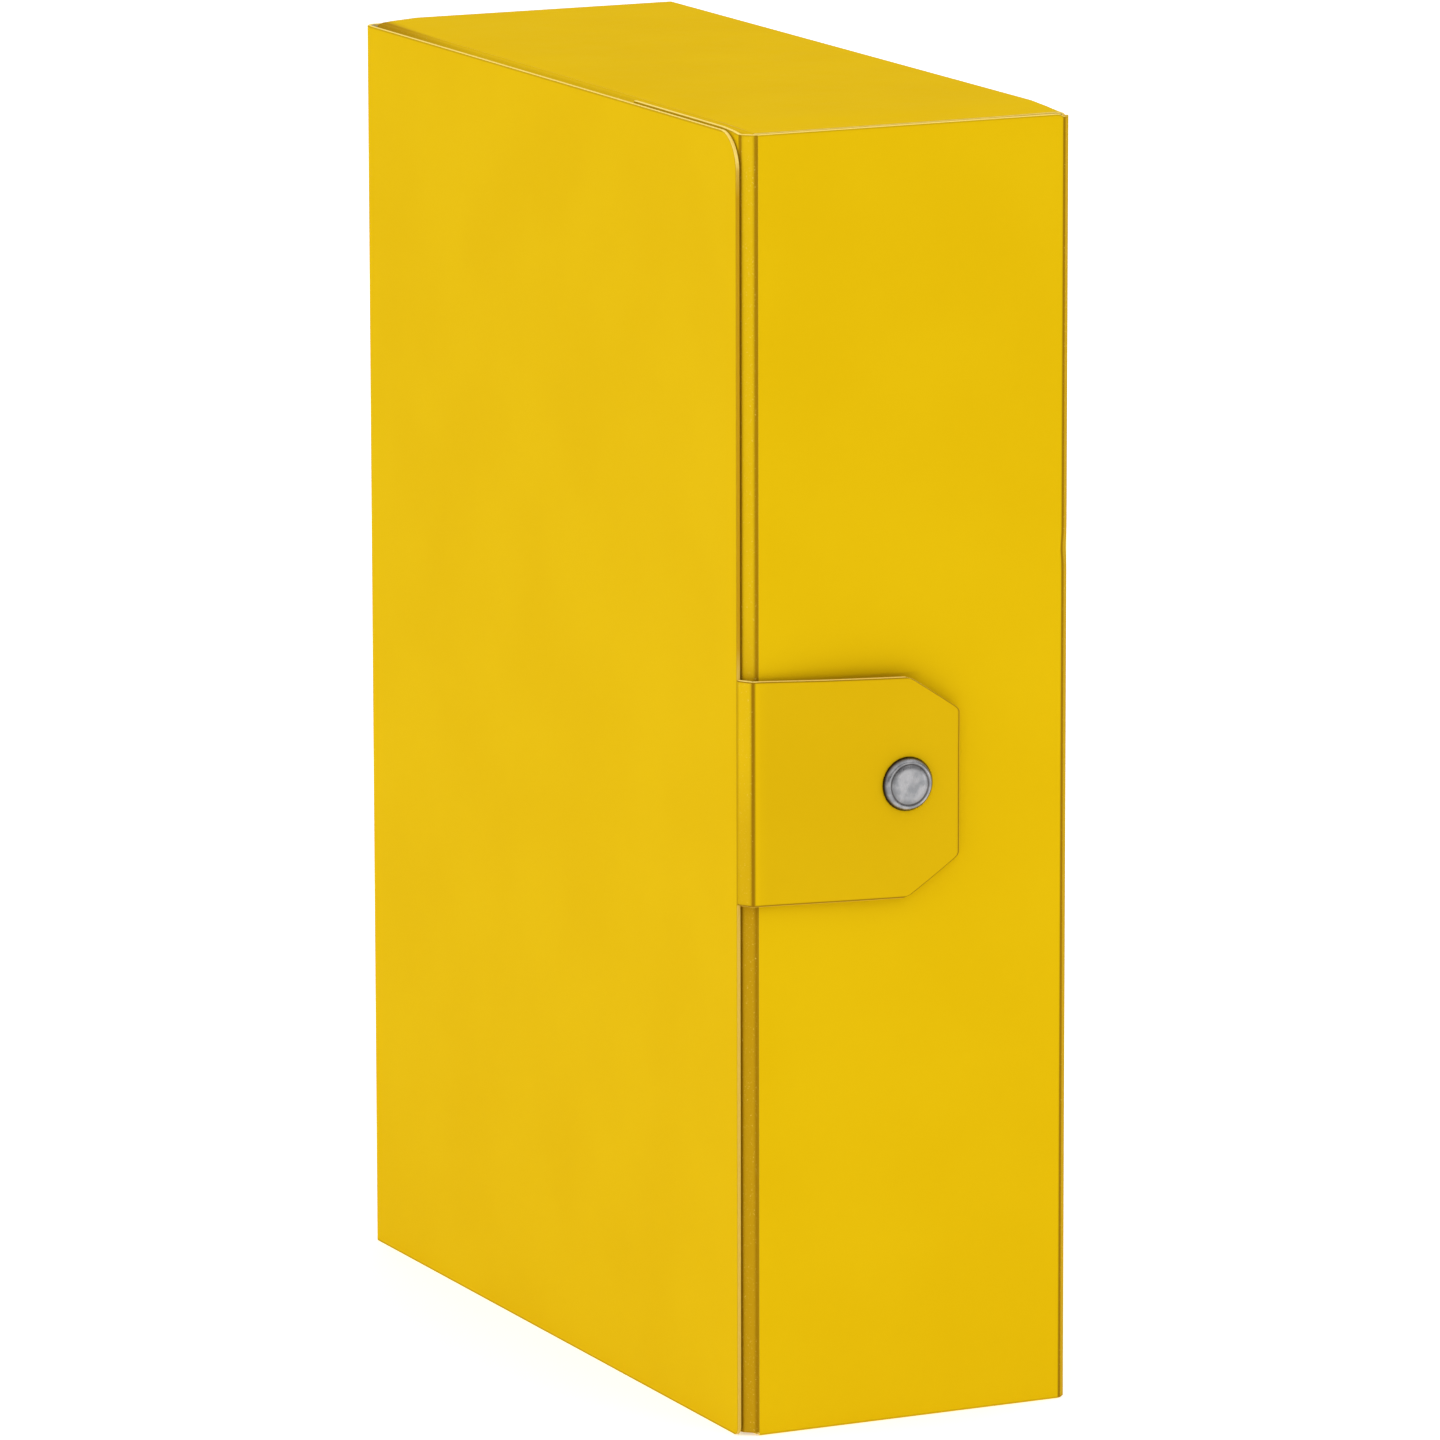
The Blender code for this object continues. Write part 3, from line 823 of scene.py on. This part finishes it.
# ---------------------------------------------------------------- bottom wall and its flap
# The bottom wall is the top wall's twin. The papers' weight keeps it flat on the table.
bottom_low, bottom_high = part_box("bottom_wall")
bottom_flap_low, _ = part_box("bottom_return_flap")
bottom_corner = (back_high.x, 0, bottom_low.z)
bottom_wall = card_sheet(
    "bottom_wall_card",
    bottom_corner, toward["up"], toward["cover"], toward["spine"],
    path=back_path,
    start=-score_gap,
    reach=lambda r: 0 * r + top_reach,
    ends=end_wall_ends(bottom_low, bottom_high, top_crease_low, top_crease_high, top_reach),
    scores=(0, back_width),
    folded_edge=True,
)
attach(bottom_wall, "box_back")
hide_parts("bottom_wall", "bottom_back_crease")

bottom_flap_corner = (bottom_flap_low.x, 0, bottom_low.z)
bottom_flap = card_sheet(
    "bottom_return_flap_card",
    bottom_flap_corner, toward["back"], toward["up"], toward["spine"],
    path=end_path,
    start=-score_gap,
    reach=lambda r: 0 * r + end_reach,
    ends=tapered_ends(top_crease_low, top_crease_high),
    scores=(0, end_width),
)
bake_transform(bottom_flap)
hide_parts("bottom_return_flap", "bottom_return_crease")

# ---------------------------------------------------------------- press stud
# A ring-spring press stud in black-nickelled brass: a low domed cap riveted through the tab to
# the socket behind it, and the stud riveted through the wall to an eyelet inside. The cap is
# bare but for a turned ring. Its rolled rim is rubbed bright, and dark oxide sits under it.
nickel_grey = "#a7a6a8"
nickel_dull = "#88898c"
oxide_brown = "#2b2521"
steel_grey = "#b9b9bb"
grain_size = (0.35 * mm, 0.35 * mm, 4 * mm)
tarnish_size = 5 * mm
wire_grain_size = 0.2 * mm

dark_nickel, shader, link, here = new_material("black_nickel_plate")
grain_space = add_node(
    dark_nickel,
    "ShaderNodeMapping",
    {"Vector": here, "Scale": tuple(1 / size for size in grain_size)},
)
grain = add_node(
    dark_nickel,
    "ShaderNodeTexNoise",
    {"Vector": grain_space.outputs["Vector"], "Scale": 1.0, "Detail": 3.0},
)
tarnish = add_node(
    dark_nickel,
    "ShaderNodeTexNoise",
    {"Vector": here, "Scale": 1 / tarnish_size, "Detail": 3.0, "Roughness": 0.55},
)
tarnish_share = add_node(
    dark_nickel,
    "ShaderNodeMapRange",
    {"Value": tarnish.outputs["Fac"], "From Min": 0.38, "From Max": 0.62},
    interpolation_type="SMOOTHSTEP",
)
plate_colour = mix_colours(
    dark_nickel, tarnish_share.outputs["Result"], linear(nickel_grey), linear(nickel_dull)
)
oxide = add_node(dark_nickel, "ShaderNodeAttribute", attribute_name="oxide")
oxidised = mix_colours(
    dark_nickel, oxide.outputs["Fac"], plate_colour, linear(oxide_brown)
)
link(oxidised, shader.inputs["Base Color"])
plate_roughness = add_node(
    dark_nickel,
    "ShaderNodeMapRange",
    {"Value": grain.outputs["Fac"], "To Min": 0.2, "To Max": 0.38},
)
link(plate_roughness.outputs["Result"], shader.inputs["Roughness"])
plate_bump = add_node(
    dark_nickel,
    "ShaderNodeBump",
    {"Height": grain.outputs["Fac"], "Strength": 0.25, "Distance": 0.02 * mm},
)
link(plate_bump.outputs["Normal"], shader.inputs["Normal"])
shader.inputs["Metallic"].default_value = 1.0

spring_steel, shader, link, here = new_material("drawn_spring_wire")
drawn = add_node(
    spring_steel,
    "ShaderNodeTexNoise",
    {"Vector": here, "Scale": 1 / wire_grain_size, "Detail": 2.0},
)
wire_roughness = add_node(
    spring_steel,
    "ShaderNodeMapRange",
    {"Value": drawn.outputs["Fac"], "To Min": 0.2, "To Max": 0.4},
)
link(wire_roughness.outputs["Result"], shader.inputs["Roughness"])
shader.inputs["Base Color"].default_value = linear(steel_grey)
shader.inputs["Metallic"].default_value = 1.0


def turned(name, profile, oxide_at, centre, steps=96):
    """A piece turned about the stud's axis, which points out of the fore edge. Each (radius,
    height) of the closed profile goes to centre + radius (cos t, 0, sin t) - height along Y.
    oxide_at holds (radius, share) points between which the oxide's share runs straight."""
    radius, height = np.array(profile).T * mm
    oxide_at = [(at * mm, share) for at, share in oxide_at]
    t = np.linspace(0, 2 * math.pi, steps, endpoint=False)[:, None]
    points = np.stack(
        [radius * np.cos(t), -height * np.ones_like(t), radius * np.sin(t)], axis=-1
    ) + np.array(centre)
    index = np.arange(points[..., 0].size).reshape(steps, -1)
    side, up = np.roll(index, -1, axis=0), np.roll(index, -1, axis=1)
    faces = np.stack([index, side, np.roll(side, -1, axis=1), up], axis=-1).reshape(-1, 4)
    corners = points.reshape(-1, 3)[faces] - np.array(centre)
    if np.einsum("ij,ij->", corners[:, 0], np.cross(corners[:, 1], corners[:, 2])) < 0:
        faces = faces[:, ::-1]
    mesh = bpy.data.meshes.new(name)
    mesh.from_pydata(points.reshape(-1, 3), [], faces)
    mesh.polygons.foreach_set("use_smooth", np.ones(len(faces), bool))
    darkened = np.interp(radius, *np.array(oxide_at).T) * np.ones((steps, 1))
    attribute = mesh.attributes.new("oxide", "FLOAT", "POINT")
    attribute.data.foreach_set("value", darkened.astype(np.float32).ravel())
    mesh.set_sharp_from_angle(angle=math.radians(40))
    mesh.update()
    piece = bpy.data.objects.new(name, mesh)
    bpy.context.scene.collection.objects.link(piece)
    return piece


cap_profile = [
    (0.02, 5.1), (2.0, 5.09), (4.0, 5.05), (5.3, 5.0), (5.5, 4.9), (5.7, 4.88), (5.9, 4.96),
    (6.15, 5.0), (6.45, 4.93), (6.75, 4.72), (7.0, 4.42), (7.25, 4.05), (7.42, 3.75),
    (7.5, 3.5), (7.45, 3.3), (7.3, 3.24), (6.9, 3.24), (6.7, 3.4), (6.4, 3.8), (1.6, 3.95),
    (1.5, 3.8), (1.5, 2.2), (1.4, 1.85), (0.02, 1.85),
]
cap_oxide = [
    (5.2, 0), (5.45, 0.75), (5.75, 0.75), (5.95, 0.1), (6.6, 0), (6.9, 0.35), (7.2, 0.9), (7.5, 1),
]
stud_centre = (stud_x, fore_low.y, stud_z)
stud_cap = turned("press_stud_cap", cap_profile, cap_oxide, stud_centre)
stud_cap.data.materials.append(dark_nickel)
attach(stud_cap, "tab")
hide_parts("stud_cap")

# The stud's other pieces show only once the tab is open, and keep their CAD shapes.
for node, finish in (
    ("stud_socket", dark_nickel),
    ("wall_stud", dark_nickel),
    ("wall_eyelet", dark_nickel),
    ("socket_spring", spring_steel),
):
    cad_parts[node].data.materials.clear()
    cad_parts[node].data.materials.append(finish)

# ---------------------------------------------------------------- floor
# A seamless sweep of opal acrylic, lit from behind, so that it stays white round the box.
half_floor = 8.0
floor_gap = 0.2 * mm  # it lies this far under the box

acrylic, shader, link, here = new_material("opal_acrylic_sweep")
haze = add_node(acrylic, "ShaderNodeTexNoise", {"Vector": here, "Scale": 3.0, "Detail": 2.0})
haze_colour = mix_colours(acrylic, haze.outputs["Fac"], linear("#f4f4f3"), linear("#efefee"))
link(haze_colour, shader.inputs["Base Color"])
shader.inputs["Roughness"].default_value = 0.9
shader.inputs["Specular IOR Level"].default_value = 0.05
shader.inputs["Emission Color"].default_value = (1, 1, 1, 1)
shader.inputs["Emission Strength"].default_value = 0.45
floor_mesh = bpy.data.meshes.new("acrylic_floor")
side = np.array([(-1, -1), (1, -1), (1, 1), (-1, 1)]) * half_floor
floor_mesh.from_pydata(np.c_[side, np.full(4, cad_box[0].z - floor_gap)], [], [(0, 1, 2, 3)])
floor_mesh.materials.append(acrylic)
floor = bpy.data.objects.new("acrylic_floor", floor_mesh)
bpy.context.scene.collection.objects.link(floor)

# ---------------------------------------------------------------- light and camera
# Soft white light from overhead that fades to grey studio walls at the sides, a large soft box
# on each side of the camera, and a small one low on the right to lift the foot of the wall. The
# camera stands far off with a long lens, so the box's upright edges stay nearly parallel.
camera_distance = 3.036
camera_turn = (-25.38, 11.16, -0.12)  # degrees of azimuth, elevation and roll
focal_length = 269.675  # in mm, as sensor_width is
wall_strength = 0.22
overhead_strength = 1.18

world = bpy.data.worlds.new("studio_white")
bpy.context.scene.world = world
world.use_nodes = True
sky = add_node(world, "ShaderNodeTexCoord").outputs["Generated"]
height = add_node(world, "ShaderNodeSeparateXYZ", {"Vector": sky}).outputs["Z"]
scrim = add_node(
    world,
    "ShaderNodeMapRange",
    {
        "Value": height,
        "From Min": 0.15,
        "From Max": 0.65,
        "To Min": wall_strength,
        "To Max": overhead_strength,
    },
    interpolation_type="SMOOTHSTEP",
)
backdrop = world.node_tree.nodes["Background"]
backdrop.inputs["Color"].default_value = (1, 1, 1, 1)
world.node_tree.links.new(scrim.outputs["Result"], backdrop.inputs["Strength"])


def soft_box(name, place, aim, width, height, power):
    """A rectangular area light at place, turned so that its face looks at aim."""
    lamp = bpy.data.lights.new(name, "AREA")
    lamp.shape, lamp.size, lamp.size_y, lamp.energy = "RECTANGLE", width, height, power
    holder = bpy.data.objects.new(name, lamp)
    bpy.context.scene.collection.objects.link(holder)
    holder.location = place
    direction = Vector(aim) - holder.location
    holder.rotation_euler = direction.to_track_quat("-Z", "Y").to_euler()


soft_box("left_box", (-1.7, -0.4, 0.75), (0, 0, 0.18), 1.0, 1.1, 2.7)
soft_box("right_box", (0.75, -1.45, 0.8), (0.03, -0.12, 0.28), 0.7, 0.6, 1.0)
soft_box("low_box", (0.78, -0.92, 0.05), (0, -0.12, 0.2), 0.12, 0.1, 0.25)

camera_data = bpy.data.cameras.new("camera")
camera = bpy.data.objects.new("camera", camera_data)
bpy.context.scene.collection.objects.link(camera)
azimuth, elevation, roll = map(math.radians, camera_turn)
away = np.array(
    [
        math.sin(azimuth) * math.cos(elevation),
        -math.cos(azimuth) * math.cos(elevation),
        math.sin(elevation),
    ]
)
right = np.array([math.cos(azimuth), math.sin(azimuth), 0])
upward = np.cross(away, right)
right, upward = (
    right * math.cos(roll) + upward * math.sin(roll),
    upward * math.cos(roll) - right * math.sin(roll),
)
turn = np.eye(4)
turn[:3, 0], turn[:3, 1], turn[:3, 2] = right, upward, away
turn[:3, 3] = np.array([0, 0, cover_high.z / 2]) + away * camera_distance
camera.matrix_world = turn.T
camera_data.sensor_width = 36
camera_data.lens = focal_length
camera_data.shift_x, camera_data.shift_y = 0.0076, -0.0153
camera_data.clip_start, camera_data.clip_end = 0.1, 50
bpy.context.scene.camera = camera
bpy.context.scene.view_settings.view_transform = "Standard"
